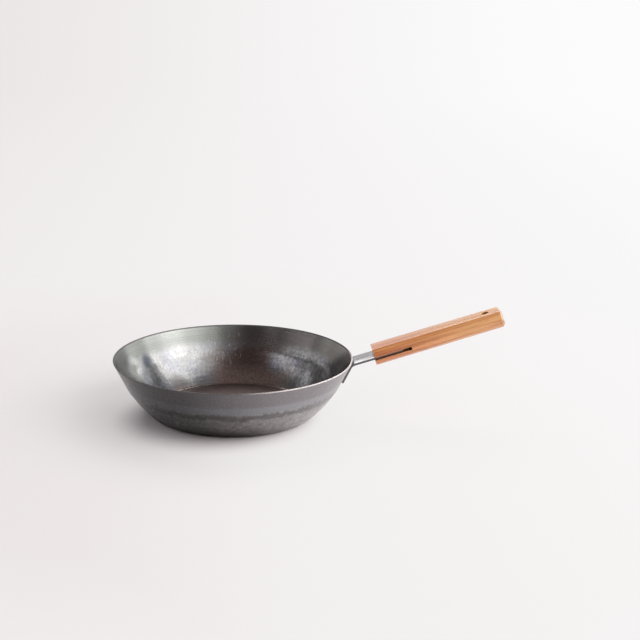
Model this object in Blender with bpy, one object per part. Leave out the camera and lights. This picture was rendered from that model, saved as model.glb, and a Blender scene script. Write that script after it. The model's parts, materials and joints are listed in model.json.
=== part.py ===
"""Hammered iron frying pan with a strap bracket and a slotted wooden handle.

Metres, +Z up. The origin is the centre of the flat underside, and the handle points along +X.
"""
from math import atan2, cos, pi, radians, sin, tan

import bmesh
import bpy
from mathutils import Vector

# Pan: one sheet of iron, flat base, curved wall, plain band under a cut rim
RIM_RADIUS = 0.130
RIM_HEIGHT = 0.061
SHEET = 0.0016
BAND_LENGTH = 0.024
BAND_LEAN = radians(26.5)
WALL_TURN = radians(22.5)
BASE_CORNER = 0.008
RIM_ROUNDING = 0.0003

# Bracket: one flat strap, bent once, its leg against the wall and its bar in the handle
STRAP_WIDTH = 0.0264
STRAP_THICKNESS = 0.0024
BEND_BELOW_RIM = 0.0066
BEND_RADIUS = 0.008
HANDLE_TILT = radians(17.2)
LEG_LENGTH = 0.023
NECK_LENGTH = 0.026
INSERT_LENGTH = 0.033
STRAP_CORNER = 0.002

# Plug welds that fill holes in the leg
WELD_DIAMETER = 0.0055
WELD_CROWN = 0.0004
WELD_CROWN_SHARE = 0.6
WELD_EDGE = 0.0062
WELD_TO_BEND = 0.0042
WELD_ROWS = 2
WELD_COLUMNS = 2

# Wooden handle: planed flat top, swelling sides, rounded underside, sawn slot
HANDLE_LENGTH = 0.1465
HANDLE_THICKNESS = 0.0196
SIDE_COVER = 0.0032
SIDE_TAPER = 0.0016
RIDGE_INSET = 0.0049
SIDE_SWELL = 1.15
UNDERSIDE_FULLNESS = 2.6
END_CHAMFER = 0.0022
FRONT_CHAMFER = 0.0006
SLOT_SPARE = 0.007
RELIEF_OVERSIZE = 0.0005
HANG_DIAMETER = 0.008
HANG_FROM_END = 0.0173

# Countersunk screws, driven from under the handle through the bar
SCREW_HEAD_DIAMETER = 0.007
SCREW_SHANK_DIAMETER = 0.0035
SCREW_HEAD_LAND = 0.0004
SCREW_RECESS = 0.0004
SCREW_BITE = 0.0045
SCREW_POINT = 0.0025
SCREW_BLUNTNESS = 0.2
SCREW_EDGE = 0.0095
SCREW_COUNT = 2
DRIVE_SPAN = 0.0038
DRIVE_WIDTH = 0.0009
DRIVE_DEPTH = 0.0011

# Fit between pieces that touch on the real pan
GAP = 0.0003

# Facets of the round forms
PAN_SIDES = 96
CURVE_STEPS = 7
CORNER_STEPS = 4
BEND_STEPS = 8
UNDERSIDE_STEPS = 9
SIDE_STEPS = 3
HOLE_SIDES = 24
SMALL_SIDES = 20

# How far a cutter reaches past what it cuts
OVERSHOOT = 0.004


def clear_scene():
    for thing in list(bpy.data.objects):
        bpy.data.objects.remove(thing, do_unlink=True)


def finish(name, colour, roughness, metallic):
    """A plain material with the piece's colour."""
    material = bpy.data.materials.new(name)
    material.use_nodes = True
    shader = material.node_tree.nodes["Principled BSDF"]
    shader.inputs["Base Color"].default_value = (*colour, 1.0)
    shader.inputs["Roughness"].default_value = roughness
    shader.inputs["Metallic"].default_value = metallic
    material.diffuse_color = (*colour, 1.0)
    return material


def add_object(name, bm, material=None, parent=None, smooth_angle=30.0):
    """Turn a bmesh into an object under a parent, shaded smooth across its curves."""
    bmesh.ops.recalc_face_normals(bm, faces=bm.faces)
    mesh = bpy.data.meshes.new(name)
    bm.to_mesh(mesh)
    bm.free()
    mesh.shade_smooth()
    mesh.set_sharp_from_angle(angle=radians(smooth_angle))
    thing = bpy.data.objects.new(name, mesh)
    bpy.context.scene.collection.objects.link(thing)
    thing.parent = parent
    if material:
        mesh.materials.append(material)
    return thing


def add_cutter(name, bm, parent):
    cutter = add_object(name, bm, parent=parent)
    cutter.hide_render = True
    cutter.display_type = "WIRE"
    return cutter


def cut(target, cutter):
    modifier = target.modifiers.new(cutter.name, "BOOLEAN")
    modifier.operation = "DIFFERENCE"
    modifier.solver = "EXACT"
    modifier.object = cutter


def spread(low, high, count):
    """Centres spread evenly from low to high, or one in the middle."""
    if count < 2:
        return [(low + high) / 2]
    return [low + (high - low) * index / (count - 1) for index in range(count)]


def turned(profile, sides):
    """Spin a profile of (radius, height) points round Z, and close its two ends with flat faces."""
    bm = bmesh.new()
    verts = [bm.verts.new((radius, 0.0, height)) for radius, height in profile]
    edges = [bm.edges.new(pair) for pair in zip(verts, verts[1:])]
    bmesh.ops.spin(bm, geom=verts + edges, cent=(0, 0, 0), axis=(0, 0, 1),
                   angle=2 * pi, steps=sides, use_duplicate=False)
    bmesh.ops.remove_doubles(bm, verts=bm.verts, dist=1e-6)
    open_edges = [edge for edge in bm.edges if edge.is_boundary]
    if open_edges:
        bmesh.ops.edgeloop_fill(bm, edges=open_edges)
    return bm


def prism(outline, half_width):
    """A closed outline in the XZ plane, extruded evenly to both sides along Y."""
    bm = bmesh.new()
    face = bm.faces.new([bm.verts.new((x, -half_width, z)) for x, z in outline])
    swept = bmesh.ops.extrude_face_region(bm, geom=[face])["geom"]
    moved = [item for item in swept if isinstance(item, bmesh.types.BMVert)]
    bmesh.ops.translate(bm, verts=moved, vec=(0, 2 * half_width, 0))
    return bm


def block(x_range, y_range, z_range):
    (x0, x1), (y0, y1), (z0, z1) = x_range, y_range, z_range
    bm = prism([(x0, z0), (x1, z0), (x1, z1), (x0, z1)], (y1 - y0) / 2)
    bmesh.ops.translate(bm, verts=bm.verts, vec=(0, (y0 + y1) / 2, 0))
    return bm


def rod(radius, low, high, sides=SMALL_SIDES):
    return turned([(radius, low), (radius, high)], sides)


def along(point, lean, distance):
    """Walk down and inwards from a point of the wall, at a lean from the vertical."""
    radius, height = point
    return (radius - distance * sin(lean), height - distance * cos(lean))


# The pan's body

def wall_points():
    """The outer surface from rim to base: straight band, long curve, base corner.

    Each entry is a point and its lean. The long curve's radius follows from the height.
    """
    rim = (RIM_RADIUS, RIM_HEIGHT)
    band_end = along(rim, BAND_LEAN, BAND_LENGTH)
    base_lean = BAND_LEAN + WALL_TURN
    corner_drop = BASE_CORNER * (1 - sin(base_lean))
    curve_radius = (band_end[1] - corner_drop) / (sin(base_lean) - sin(BAND_LEAN))
    points = [(rim, BAND_LEAN)]
    for index in range(CURVE_STEPS + 1):
        lean = BAND_LEAN + WALL_TURN * index / CURVE_STEPS
        run = curve_radius * (cos(BAND_LEAN) - cos(lean))
        drop = curve_radius * (sin(lean) - sin(BAND_LEAN))
        points.append(((band_end[0] - run, band_end[1] - drop), lean))
    (start_radius, start_height), _ = points[-1]
    for index in range(1, CORNER_STEPS + 1):
        lean = base_lean + (pi / 2 - base_lean) * index / CORNER_STEPS
        run = BASE_CORNER * (cos(base_lean) - cos(lean))
        drop = BASE_CORNER * (sin(lean) - sin(base_lean))
        points.append(((start_radius - run, start_height - drop), lean))
    return points


def inward(point, lean, depth):
    """Step from the outer surface into the sheet, square to it."""
    return (point[0] - depth * cos(lean), point[1] + depth * sin(lean))


def pan_body(material):
    outer = wall_points()
    rim, lean = outer[0]
    edge_low = along(rim, lean, RIM_ROUNDING)
    profile = [inward(edge_low, lean, SHEET),
               inward(rim, lean, SHEET - RIM_ROUNDING),
               inward(rim, lean, RIM_ROUNDING),
               edge_low]
    profile += [point for point, _ in outer[1:]]
    lining = [inward(point, angle, SHEET) for point, angle in outer[1:]]
    bm = turned(list(reversed(lining)) + profile, PAN_SIDES)
    return add_object("pan_body", bm, material, smooth_angle=25.0)


# The bracket, in the handle's own frame: its bar runs along X, and the bend's corner is the origin

def corner_point():
    """Where the middle planes of leg and bar meet, in the world."""
    radius, height = along((RIM_RADIUS, RIM_HEIGHT), BAND_LEAN, BEND_BELOW_RIM)
    stand_off = GAP + STRAP_THICKNESS / 2
    return Vector((radius + stand_off * cos(BAND_LEAN), 0.0, height - stand_off * sin(BAND_LEAN)))


def handle_frame():
    frame = bpy.data.objects.new("handle_frame", None)
    frame.location = corner_point()
    frame.rotation_euler = (0.0, -HANDLE_TILT, 0.0)
    bpy.context.scene.collection.objects.link(frame)
    return frame


BEND_TURN = pi / 2 - BAND_LEAN - HANDLE_TILT
BEND_TANGENT = BEND_RADIUS * tan(BEND_TURN / 2)
BAR_LENGTH = NECK_LENGTH + INSERT_LENGTH
LEG_DOWN = Vector((-cos(BEND_TURN), 0.0, -sin(BEND_TURN)))
LEG_OUT = Vector((sin(BEND_TURN), 0.0, -cos(BEND_TURN)))


def strap_side(offset):
    """The strap's line at a distance above its middle plane, from the leg's end to the bar's end."""
    points = []
    foot = LEG_DOWN * LEG_LENGTH - LEG_OUT * offset
    points.append((foot.x, foot.z))
    centre = (BEND_TANGENT, -BEND_RADIUS)
    for index in range(BEND_STEPS + 1):
        angle = pi / 2 + BEND_TURN * (1 - index / BEND_STEPS)
        reach = BEND_RADIUS + offset
        points.append((centre[0] + reach * cos(angle), centre[1] + reach * sin(angle)))
    points.append((BAR_LENGTH, offset))
    return points


def weld_centres():
    """Distances down the leg and across it."""
    half = STRAP_WIDTH / 2 - WELD_EDGE
    rows = spread(BEND_TANGENT + WELD_TO_BEND, LEG_LENGTH - WELD_EDGE, WELD_ROWS)
    return [(row, column) for row in rows for column in spread(-half, half, WELD_COLUMNS)]


def screw_centres():
    """Distances along the bar from the bend's corner."""
    return spread(NECK_LENGTH + SCREW_EDGE, BAR_LENGTH - SCREW_EDGE, SCREW_COUNT)


def turn_to_leg(thing, row, column):
    """Stand a piece that was turned round Z on the leg, its top facing out of the leg's outer face."""
    thing.location = LEG_DOWN * row + Vector((0.0, column, 0.0))
    thing.rotation_euler = (0.0, atan2(LEG_OUT.x, LEG_OUT.z), 0.0)


def handle_bracket(material, frame):
    half = STRAP_THICKNESS / 2
    bm = prism(strap_side(half) + list(reversed(strap_side(-half))), STRAP_WIDTH / 2)
    ends = [edge for edge in bm.edges if is_strap_corner(edge)]
    bmesh.ops.bevel(bm, geom=ends, offset=STRAP_CORNER, segments=3, profile=0.5, affect="EDGES")
    bracket = add_object("handle_bracket", bm, material, frame)
    reach = half + OVERSHOOT
    for index, (row, column) in enumerate(weld_centres(), 1):
        drill = add_cutter(f"weld_drill_{index}", rod(WELD_DIAMETER / 2 + GAP, -reach, reach), frame)
        turn_to_leg(drill, row, column)
        cut(bracket, drill)
    for index, distance in enumerate(screw_centres(), 1):
        drill = add_cutter(f"bar_drill_{index}", rod(SCREW_SHANK_DIAMETER / 2 + GAP, -reach, reach), frame)
        drill.location = (distance, 0.0, 0.0)
        cut(bracket, drill)
    return bracket


def is_strap_corner(edge):
    """True for the short edges that stand at the four corners of the strap's two ends."""
    first, second = (vert.co for vert in edge.verts)
    same_side = abs(first.y - second.y) < 1e-6
    short = (first - second).length < STRAP_THICKNESS * 1.01
    at_bar_end = min(first.x, second.x) > BAR_LENGTH - 1e-6
    at_leg_end = max(first.dot(LEG_DOWN), second.dot(LEG_DOWN)) > LEG_LENGTH - 1e-6
    return same_side and short and (at_bar_end or at_leg_end)


def plug_weld(index, row, column, material, frame):
    """Weld metal that fills one hole of the leg, flush inside and slightly crowned outside."""
    radius = WELD_DIAMETER / 2
    half = STRAP_THICKNESS / 2
    profile = [(radius, -half), (radius, half), (radius * WELD_CROWN_SHARE, half + WELD_CROWN)]
    weld = add_object(f"plug_weld_{index}", turned(profile, SMALL_SIDES), material, frame)
    turn_to_leg(weld, row, column)
    return weld


# The wooden handle

def handle_section(half_width, shrink=0.0):
    """Points of the section, (across, up), from the middle of the underside round to it again.

    The sides swell from the ridges of the planed top to the bar's level, and the underside is round.
    """
    half_height = HANDLE_THICKNESS / 2
    right = []
    for index in range(UNDERSIDE_STEPS + 1):
        angle = -pi / 2 + pi / 2 * index / UNDERSIDE_STEPS
        across = half_width * cos(angle) ** (2 / UNDERSIDE_FULLNESS)
        up = -half_height * (-sin(angle)) ** (2 / UNDERSIDE_FULLNESS) if angle < 0 else 0.0
        right.append((across, up))
    right[0] = (0.0, -half_height)
    for index in range(1, SIDE_STEPS + 1):
        share = index / SIDE_STEPS
        right.append((half_width - RIDGE_INSET * share ** SIDE_SWELL, half_height * share))
    outline = right + [(-across, up) for across, up in reversed(right[1:])]
    scale_across = (half_width - shrink) / half_width
    scale_up = (half_height - shrink) / half_height
    return [(across * scale_across, up * scale_up) for across, up in outline]


def wood_blank():
    """The handle before its slot and holes: rings of one section, tapered and chamfered at the ends."""
    start_half = STRAP_WIDTH / 2 + SIDE_COVER
    stations = [(0.0, FRONT_CHAMFER), (FRONT_CHAMFER, 0.0),
                (HANDLE_LENGTH - END_CHAMFER, 0.0), (HANDLE_LENGTH, END_CHAMFER)]
    bm = bmesh.new()
    rings = []
    for distance, shrink in stations:
        half_width = start_half - SIDE_TAPER * distance / HANDLE_LENGTH
        ring = [bm.verts.new((NECK_LENGTH + distance, across, up))
                for across, up in handle_section(half_width, shrink)]
        rings.append(ring)
    count = len(rings[0])
    for ring, following in zip(rings, rings[1:]):
        for index in range(count):
            after = (index + 1) % count
            bm.faces.new((ring[index], ring[after], following[after], following[index]))
    bm.faces.new(list(reversed(rings[0])))
    bm.faces.new(rings[-1])
    return bm


def wood_handle(material, frame):
    handle = add_object("wood_handle", wood_blank(), material, frame, smooth_angle=22.0)
    across = STRAP_WIDTH / 2 + SIDE_COVER + OVERSHOOT
    up = HANDLE_THICKNESS / 2 + OVERSHOOT
    slot_half = STRAP_THICKNESS / 2 + GAP
    relief_at = BAR_LENGTH + SLOT_SPARE
    slot = block((NECK_LENGTH - OVERSHOOT, relief_at), (-across, across), (-slot_half, slot_half))
    cut(handle, add_cutter("slot_saw", slot, frame))

    relief_radius = slot_half + RELIEF_OVERSIZE / 2
    relief = add_cutter("relief_drill", rod(relief_radius, -across, across, HOLE_SIDES), frame)
    relief.location = (relief_at, 0.0, 0.0)
    relief.rotation_euler = (pi / 2, 0.0, 0.0)
    cut(handle, relief)

    hang = add_cutter("hang_drill", rod(HANG_DIAMETER / 2, -up, up, HOLE_SIDES), frame)
    hang.location = (NECK_LENGTH + HANDLE_LENGTH - HANG_FROM_END, 0.0, 0.0)
    cut(handle, hang)

    for index, distance in enumerate(screw_centres(), 1):
        profile = screw_profile(GAP)
        profile[0] = (profile[0][0], -up)
        seat = add_cutter(f"screw_seat_{index}", turned(profile, SMALL_SIDES), frame)
        seat.location = (distance, 0.0, 0.0)
        cut(handle, seat)
    return handle


# The screws, upright in the handle's frame with their heads at the underside

def screw_profile(grow=0.0):
    """Points (radius, height) from the head's face to the blunt point, all grown by a clearance.

    The head's cone leans 45 degrees, so growing it moves its ends by the tangent of half of that.
    """
    head = SCREW_HEAD_DIAMETER / 2
    shank = SCREW_SHANK_DIAMETER / 2
    face = -HANDLE_THICKNESS / 2 + SCREW_RECESS
    land = face + SCREW_HEAD_LAND
    neck = land + head - shank
    tip = STRAP_THICKNESS / 2 + SCREW_BITE
    cone_shift = grow * tan(pi / 8)
    return [(head + grow, face - grow),
            (head + grow, land + cone_shift),
            (shank + grow, neck + cone_shift),
            (shank + grow, tip - SCREW_POINT),
            (shank * SCREW_BLUNTNESS + grow, tip + grow)]


def drive_cross():
    """A plus-shaped prism that sinks the drive into the head."""
    long_half, short_half = DRIVE_SPAN / 2, DRIVE_WIDTH / 2
    corners = [(long_half, short_half), (short_half, short_half), (short_half, long_half)]
    outline = []
    for quarter in range(4):
        turn = quarter * pi / 2
        outline += [(x * cos(turn) - y * sin(turn), x * sin(turn) + y * cos(turn)) for x, y in corners]
    face = -HANDLE_THICKNESS / 2 + SCREW_RECESS
    bm = bmesh.new()
    floor = bm.faces.new([bm.verts.new((x, y, face + DRIVE_DEPTH)) for x, y in outline])
    swept = bmesh.ops.extrude_face_region(bm, geom=[floor])["geom"]
    moved = [item for item in swept if isinstance(item, bmesh.types.BMVert)]
    bmesh.ops.translate(bm, verts=moved, vec=(0, 0, -DRIVE_DEPTH - OVERSHOOT))
    return bm


def handle_screw(index, distance, material, frame):
    screw = add_object(f"handle_screw_{index}", turned(screw_profile(), SMALL_SIDES), material, frame)
    screw.location = (distance, 0.0, 0.0)
    drive = add_cutter(f"screw_drive_{index}", drive_cross(), frame)
    drive.location = (distance, 0.0, 0.0)
    cut(screw, drive)
    return screw


def build():
    clear_scene()
    iron = finish("hammered_iron", (0.060, 0.057, 0.058), 0.42, 0.9)
    steel = finish("satin_steel", (0.46, 0.45, 0.44), 0.34, 1.0)
    wood = finish("oiled_wood", (0.58, 0.29, 0.13), 0.5, 0.0)
    pan_body(iron)
    frame = handle_frame()
    handle_bracket(steel, frame)
    for index, (row, column) in enumerate(weld_centres(), 1):
        weld_metal = finish(f"weld_metal_{index}", (0.36, 0.35, 0.34), 0.45, 1.0)
        plug_weld(index, row, column, weld_metal, frame)
    wood_handle(wood, frame)
    for index, distance in enumerate(screw_centres(), 1):
        screw_steel = finish(f"screw_steel_{index}", (0.50, 0.49, 0.47), 0.3, 1.0)
        handle_screw(index, distance, screw_steel, frame)
    bpy.context.view_layer.update()


build()
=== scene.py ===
# %% [markdown]
# # A hammered iron frying pan, dressed for its picture
# The pan's construction comes packed: the iron body, a bent steel strap, four welds, a wooden
# handle and two screws, each a solid at its real size. Here every surface gets its finish. The
# pieces are modelled again with finer meshes in the same places, because a solid made for
# measuring has flat facets, and hammer marks or soft edges need many small faces. Everything is
# in metres, +Z up, with the handle along +X.

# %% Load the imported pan
import json
from functools import partial
from math import atan2, ceil, cos, degrees, dist, exp, inf, pi, radians, sin, tan

import bmesh
import bpy
import numpy as np
from mathutils import Matrix, Vector, kdtree, noise

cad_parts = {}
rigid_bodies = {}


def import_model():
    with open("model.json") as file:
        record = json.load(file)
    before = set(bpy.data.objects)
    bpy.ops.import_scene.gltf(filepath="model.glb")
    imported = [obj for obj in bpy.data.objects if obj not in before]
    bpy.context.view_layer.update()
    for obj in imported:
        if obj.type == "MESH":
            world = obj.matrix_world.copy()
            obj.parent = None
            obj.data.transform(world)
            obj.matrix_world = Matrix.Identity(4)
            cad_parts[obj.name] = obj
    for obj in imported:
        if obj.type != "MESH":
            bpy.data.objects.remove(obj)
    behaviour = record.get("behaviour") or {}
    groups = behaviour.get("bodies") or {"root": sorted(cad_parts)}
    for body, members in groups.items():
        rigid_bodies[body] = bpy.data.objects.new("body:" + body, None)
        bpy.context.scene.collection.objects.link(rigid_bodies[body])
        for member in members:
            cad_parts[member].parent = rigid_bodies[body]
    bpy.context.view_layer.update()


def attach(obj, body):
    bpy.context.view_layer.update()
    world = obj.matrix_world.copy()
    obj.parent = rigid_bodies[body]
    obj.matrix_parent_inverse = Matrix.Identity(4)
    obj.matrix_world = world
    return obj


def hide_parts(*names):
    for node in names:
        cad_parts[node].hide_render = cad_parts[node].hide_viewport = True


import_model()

# %% Short helpers for objects and meshes
TOUCH = 1e-6


def mm(metres):
    return round(1000 * metres, 2)


def add_object(name, data):
    """A new object in the scene."""
    made = bpy.data.objects.new(name, data)
    bpy.context.scene.collection.objects.link(made)
    return made


def mesh_from(name, bm):
    """The mesh of a finished bmesh, which is used up."""
    mesh = bpy.data.meshes.new(name)
    bm.to_mesh(mesh)
    bm.free()
    return mesh


def shade(mesh, sharp_degrees):
    """Smooth shading that stops at edges sharper than an angle."""
    mesh.shade_smooth()
    mesh.set_sharp_from_angle(angle=radians(sharp_degrees))


def pulled(corners, step):
    """A flat face on a ring of corners, pulled out into a solid."""
    bm = bmesh.new()
    face = bm.faces.new([bm.verts.new(corner) for corner in corners])
    swept = bmesh.ops.extrude_face_region(bm, geom=[face])["geom"]
    moved = [item for item in swept if isinstance(item, bmesh.types.BMVert)]
    bmesh.ops.translate(bm, verts=moved, vec=step)
    return bm


def spun(section, sides, merge=TOUCH):
    """A list of (radius, height) spun round Z, open at both ends."""
    bm = bmesh.new()
    verts = [bm.verts.new((radius, 0.0, height)) for radius, height in section]
    edges = [bm.edges.new(pair) for pair in zip(verts, verts[1:])]
    bmesh.ops.spin(bm, geom=verts + edges, cent=(0, 0, 0), axis=(0, 0, 1), angle=2 * pi,
                   steps=sides, use_duplicate=False)
    bmesh.ops.remove_doubles(bm, verts=bm.verts, dist=merge)
    return bm


print("mesh helpers ready")

# %% [markdown]
# ## Sizes that the solids follow
# The fine meshes must fill the same space as the solids, so they start from the same sizes: the
# sheet's profile, the strap's bend and the handle's section.

# %% The sheet's sizes
RIM_RADIUS = 0.130
RIM_HEIGHT = 0.061
SHEET = 0.0016
BAND_LENGTH = 0.024
BAND_LEAN = radians(26.5)
BASE_LEAN = radians(49.0)
BASE_CORNER = 0.008
RIM_ROUNDING = 0.0003

# %% The strap's and the handle's sizes
STRAP_WIDTH = 0.0264
STRAP_THICKNESS = 0.0024
BEND_BELOW_RIM = 0.0066
BEND_RADIUS = 0.008
HANDLE_TILT = radians(17.2)
LEG_LENGTH = 0.023
NECK_LENGTH = 0.026
BAR_LENGTH = 0.059
STRAP_CORNER = 0.002
GAP = 0.0003
HANDLE_LENGTH = 0.1465
HANDLE_THICKNESS = 0.0196
START_HALF_WIDTH = 0.0164
SIDE_TAPER = 0.0016
HALF_STRAP = STRAP_THICKNESS / 2
HALF_HANDLE = HANDLE_THICKNESS / 2
print("strap", mm(STRAP_WIDTH), "mm wide, handle", mm(HANDLE_LENGTH), "mm long")

# %% [markdown]
# ## The camera
# The photograph was taken from a little above the rim, with the handle to the right. The rim's
# ellipse and the handle's corners fix the lens and the place: 15.3 degrees down, the handle
# turned 3.6 degrees away, and 0.8 degrees of roll. The same two directions, right and away, later
# place the lamps.

# %% Camera
PICTURE = 640
FOCAL_PIXELS = 1300.0
SENSOR_WIDTH = 36.0
CAMERA_PITCH = radians(15.35)
CAMERA_ROLL = radians(0.78)
HANDLE_TURN = radians(3.56)
RIM_CENTRE_RIGHT = -0.09365
RIM_CENTRE_DOWN = 0.04133
RIM_CENTRE_DISTANCE = 1.41567
RIGHT = Vector((cos(HANDLE_TURN), -sin(HANDLE_TURN), 0.0))
AWAY = Vector((sin(HANDLE_TURN), cos(HANDLE_TURN), 0.0))
UP = Vector((0.0, 0.0, 1.0))


def photo_camera():
    look = cos(CAMERA_PITCH) * AWAY - sin(CAMERA_PITCH) * UP
    top = sin(CAMERA_PITCH) * AWAY + cos(CAMERA_PITCH) * UP
    across = cos(CAMERA_ROLL) * RIGHT + sin(CAMERA_ROLL) * top
    upright = -sin(CAMERA_ROLL) * RIGHT + cos(CAMERA_ROLL) * top
    place = (RIM_HEIGHT * UP - RIM_CENTRE_RIGHT * RIGHT + RIM_CENTRE_DOWN * top
             - RIM_CENTRE_DISTANCE * look)
    data = bpy.data.cameras.new("photo_camera")
    data.sensor_width = SENSOR_WIDTH
    data.lens = SENSOR_WIDTH * FOCAL_PIXELS / PICTURE
    camera = add_object("photo_camera", data)
    turn = Matrix((across, upright, -look)).transposed()
    camera.matrix_world = Matrix.Translation(place) @ turn.to_4x4()
    bpy.context.scene.camera = camera
    return camera


camera = photo_camera()
print("lens", round(camera.data.lens, 2), "mm, at", [round(v, 3) for v in camera.location])

# %% [markdown]
# ## The sheet's profile
# A pan like this is pressed from one round sheet, so half a section says all of it: a straight
# band under the rim, a long curve, a small corner and a flat base. It is kept as points with
# their lean, because a step square to the lean gives the sheet its thickness and, later, the
# hammer its direction.

# %% Walk the outer profile
BAND_STEPS = 16
CURVE_STEPS = 34
CORNER_STEPS = 10


def along(point, lean, distance):
    return (point[0] - distance * sin(lean), point[1] - distance * cos(lean))


def arc(start, radius, lean_from, lean_to, steps):
    """Points and leans along a curve that turns inwards from one lean to another."""
    made = []
    for index in range(1, steps + 1):
        lean = lean_from + (lean_to - lean_from) * index / steps
        run = radius * (cos(lean_from) - cos(lean))
        drop = radius * (sin(lean) - sin(lean_from))
        made.append((start[0] - run, start[1] - drop, lean))
    return made


def outer_profile():
    rim = (RIM_RADIUS, RIM_HEIGHT)
    points = [(*along(rim, BAND_LEAN, BAND_LENGTH * index / BAND_STEPS), BAND_LEAN)
              for index in range(BAND_STEPS + 1)]
    corner_drop = BASE_CORNER * (1 - sin(BASE_LEAN))
    curve_radius = (points[-1][1] - corner_drop) / (sin(BASE_LEAN) - sin(BAND_LEAN))
    points += arc(points[-1], curve_radius, BAND_LEAN, BASE_LEAN, CURVE_STEPS)
    points += arc(points[-1], BASE_CORNER, BASE_LEAN, pi / 2, CORNER_STEPS)
    return points


profile = outer_profile()
print(len(profile), "points, flat base", mm(2 * profile[-1][0]), "mm across")

# %% [markdown]
# ## Hammer marks
# The real sheet was struck thousands of times, which leaves shallow round dishes that meet in
# soft ridges. A bump texture can't bend the reflections over a whole dish, so the marks are real:
# centres are scattered in rings with a seeded jitter, and a point sinks by how close it lies to
# the nearest one. A slow noise adds the hand-made waviness of the wall.

# %% Scatter the marks
MARK_SPACING = 0.0048
MARK_REACH = 0.0036
MARK_DEPTH = 0.00009
MARK_JITTER = 0.35
WEAKEST_MARK = 0.35
WAVE_SIZE = 0.03
WAVE_DEPTH = 0.00012
HAMMER_SEED = 7


def scatter_marks():
    """Mark centres on the sheet with a strength each, ring by ring from the base's middle."""
    chance = np.random.default_rng(HAMMER_SEED)
    flat = profile[-1][0]
    steps = ceil(flat / MARK_SPACING)
    rings = [(flat * index / steps, 0.0) for index in range(steps)]
    last = (inf, inf)
    for *point, _ in reversed(profile):
        if dist(point, last) > MARK_SPACING:
            last = point
            rings.append(last)
    marks = []
    for radius, height in rings:
        count = max(1, round(2 * pi * radius / MARK_SPACING))
        offset = chance.uniform(0, 2 * pi)
        for index in range(count):
            slip = chance.uniform(-MARK_JITTER, MARK_JITTER)
            angle = offset + 2 * pi * (index + slip) / count
            reach = radius + chance.uniform(-MARK_JITTER, MARK_JITTER) * MARK_SPACING
            strength = chance.uniform(WEAKEST_MARK, 1.0)
            marks.append((reach * cos(angle), reach * sin(angle), height, strength))
    return marks


marks = scatter_marks()
mark_tree = kdtree.KDTree(len(marks))
for index, mark in enumerate(marks):
    mark_tree.insert(mark[:3], index)
mark_tree.balance()
print(len(marks), "hammer marks")

# %% How deep the sheet sinks at a point
HAMMERED_UP_TO = 0.0347
HAMMER_FADE = 0.008
RIDGE_HEIGHT = 0.0332
RIDGE_WIDTH = 0.0046
RIDGE_RISE = 0.00034
RIDGE_WANDER = 0.0012
WANDERS_PER_METRE = 60.0
SWELLS_PER_METRE = 90.0


def hammered_share(height):
    """1 where the hammer worked, 0 on the smooth band, with a soft change."""
    share = (HAMMERED_UP_TO - height) / HAMMER_FADE + 0.5
    return min(1.0, max(0.0, share))


def sink(radius, angle, height):
    """How far a point of the sheet lies below the true profile."""
    place = Vector((radius * cos(angle), radius * sin(angle), height))
    _, index, distance = mark_tree.find(place)
    dish = max(0.0, 1.0 - (distance / MARK_REACH) ** 2) * marks[index][3]
    wave = 0.5 + 0.5 * noise.noise(place / WAVE_SIZE)
    return (MARK_DEPTH * dish + WAVE_DEPTH * wave) * hammered_share(height)


def ridge(radius, angle, height):
    """How far the wall swells out where the hammering ends under the smooth band."""
    place = Vector((radius * cos(angle), radius * sin(angle), 0.0))
    wander = RIDGE_WANDER * noise.noise(place * WANDERS_PER_METRE)
    strength = 1.0 + 0.5 * noise.noise(place * SWELLS_PER_METRE)
    return RIDGE_RISE * strength * exp(-((height - RIDGE_HEIGHT - wander) / RIDGE_WIDTH) ** 2)


print("sink at the base's middle:", round(1e6 * sink(0.0, 0.0, 0.0)), "micrometres")

# %% [markdown]
# ## The pan's body
# One closed skin of rings runs from the middle of the inside, up the wall, over the cut rim, down
# the outside and back to the middle of the underside. A spun profile would be shorter, but each
# point must sink by its own hammer marks. Three finishes share the mesh, told apart by the ring
# that a face belongs to: the seasoned inside, the cut rim and the forged outside.

# %% The rings of the skin
PAN_SIDES = 420
FLAT_STEP = 0.0017
RIM_CURVE_STEPS = 3
RIM_SHARP = 40
INSIDE, RIM, OUTSIDE = 0, 1, 2


def stepped_in(point, depth):
    radius, height, lean = point
    return (radius - depth * cos(lean), height + depth * sin(lean), lean)


def rounded_corner(centre, radius, turn_from, turn_to):
    """Points of the rim's small edge rounding, seen in the section."""
    turns = [turn_from + (turn_to - turn_from) * index / RIM_CURVE_STEPS
             for index in range(RIM_CURVE_STEPS + 1)]
    return [(centre[0] + radius * cos(turn), centre[1] + radius * sin(turn)) for turn in turns]


def skin_rings():
    """(radius, height, inward direction, zone) of each ring, from the inside's middle onwards."""
    flat = profile[-1][0] - FLAT_STEP
    steps = ceil(flat / FLAT_STEP)
    rings = [(flat * index / steps, SHEET, (0.0, 1.0), INSIDE) for index in range(1, steps + 1)]
    for point in reversed(profile[1:]):
        radius, height, lean = stepped_in(point, SHEET)
        rings.append((radius, height, (-cos(lean), sin(lean)), INSIDE))
    rim = (*along((RIM_RADIUS, RIM_HEIGHT), BAND_LEAN, RIM_ROUNDING), BAND_LEAN)
    upward = pi / 2 - BAND_LEAN
    inner = stepped_in(rim, SHEET - RIM_ROUNDING)
    outer = stepped_in(rim, RIM_ROUNDING)
    for centre, turns in ((inner, (upward + pi / 2, upward)), (outer, (upward, upward - pi / 2))):
        rings += [(radius, height, (-cos(BAND_LEAN), sin(BAND_LEAN)), RIM)
                  for radius, height in rounded_corner(centre, RIM_ROUNDING, *turns)]
    for radius, height, lean in profile[1:]:
        rings.append((radius, height, (-cos(lean), sin(lean)), OUTSIDE))
    rings += [(flat * index / steps, 0.0, (0.0, 1.0), OUTSIDE) for index in range(steps, 0, -1)]
    return rings


rings = skin_rings()
print(len(rings), "rings of", PAN_SIDES, "points")

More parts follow.
